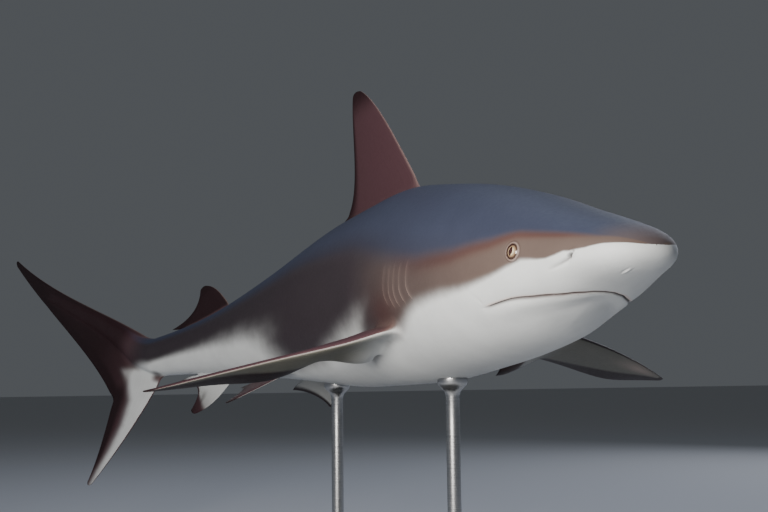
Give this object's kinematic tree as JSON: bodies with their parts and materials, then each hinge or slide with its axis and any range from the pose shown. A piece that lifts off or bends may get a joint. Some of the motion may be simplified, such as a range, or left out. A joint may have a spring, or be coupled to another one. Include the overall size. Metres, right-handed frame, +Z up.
{
  "type": "reef shark model",
  "caption": "Life-size still model of a reef shark turning as it swims, held over a flat base by steel rods.",
  "frame": {"origin": "on the floor, at the centre of the underside of the stand's base", "axes": "+X the way the shark's head points, +Y to the shark's left, +Z up"},
  "size_m": [1.9618, 1.0288, 0.8978],
  "materials": {
    "skin_back": "satin, grey-brown shading to white below",
    "skin_belly": "satin white",
    "skin_fin": "satin, dusky brown",
    "eye": "wet gloss, pale gold iris with a dark slit pupil",
    "stand_base": "board painted satin black",
    "stand_rod": "brushed"
  },
  "bodies": {
    "root": {"head": "skin_back", "lower_jaw": "skin_belly", "trunk": "skin_back", "tail_stalk": "skin_back", "caudal_fin_upper_lobe": "skin_fin", "caudal_fin_lower_lobe": "skin_fin", "first_dorsal_fin": "skin_fin", "second_dorsal_fin": "skin_fin", "anal_fin": "skin_fin", "pectoral_fin_left": "skin_fin", "pectoral_fin_right": "skin_fin", "pelvic_fin_left": "skin_fin", "pelvic_fin_right": "skin_fin", "eye_left": "eye", "eye_right": "eye", "stand_base": "stand_base", "stand_rod_front": "stand_rod", "stand_rod_rear": "stand_rod"}
  },
  "joints": []
}
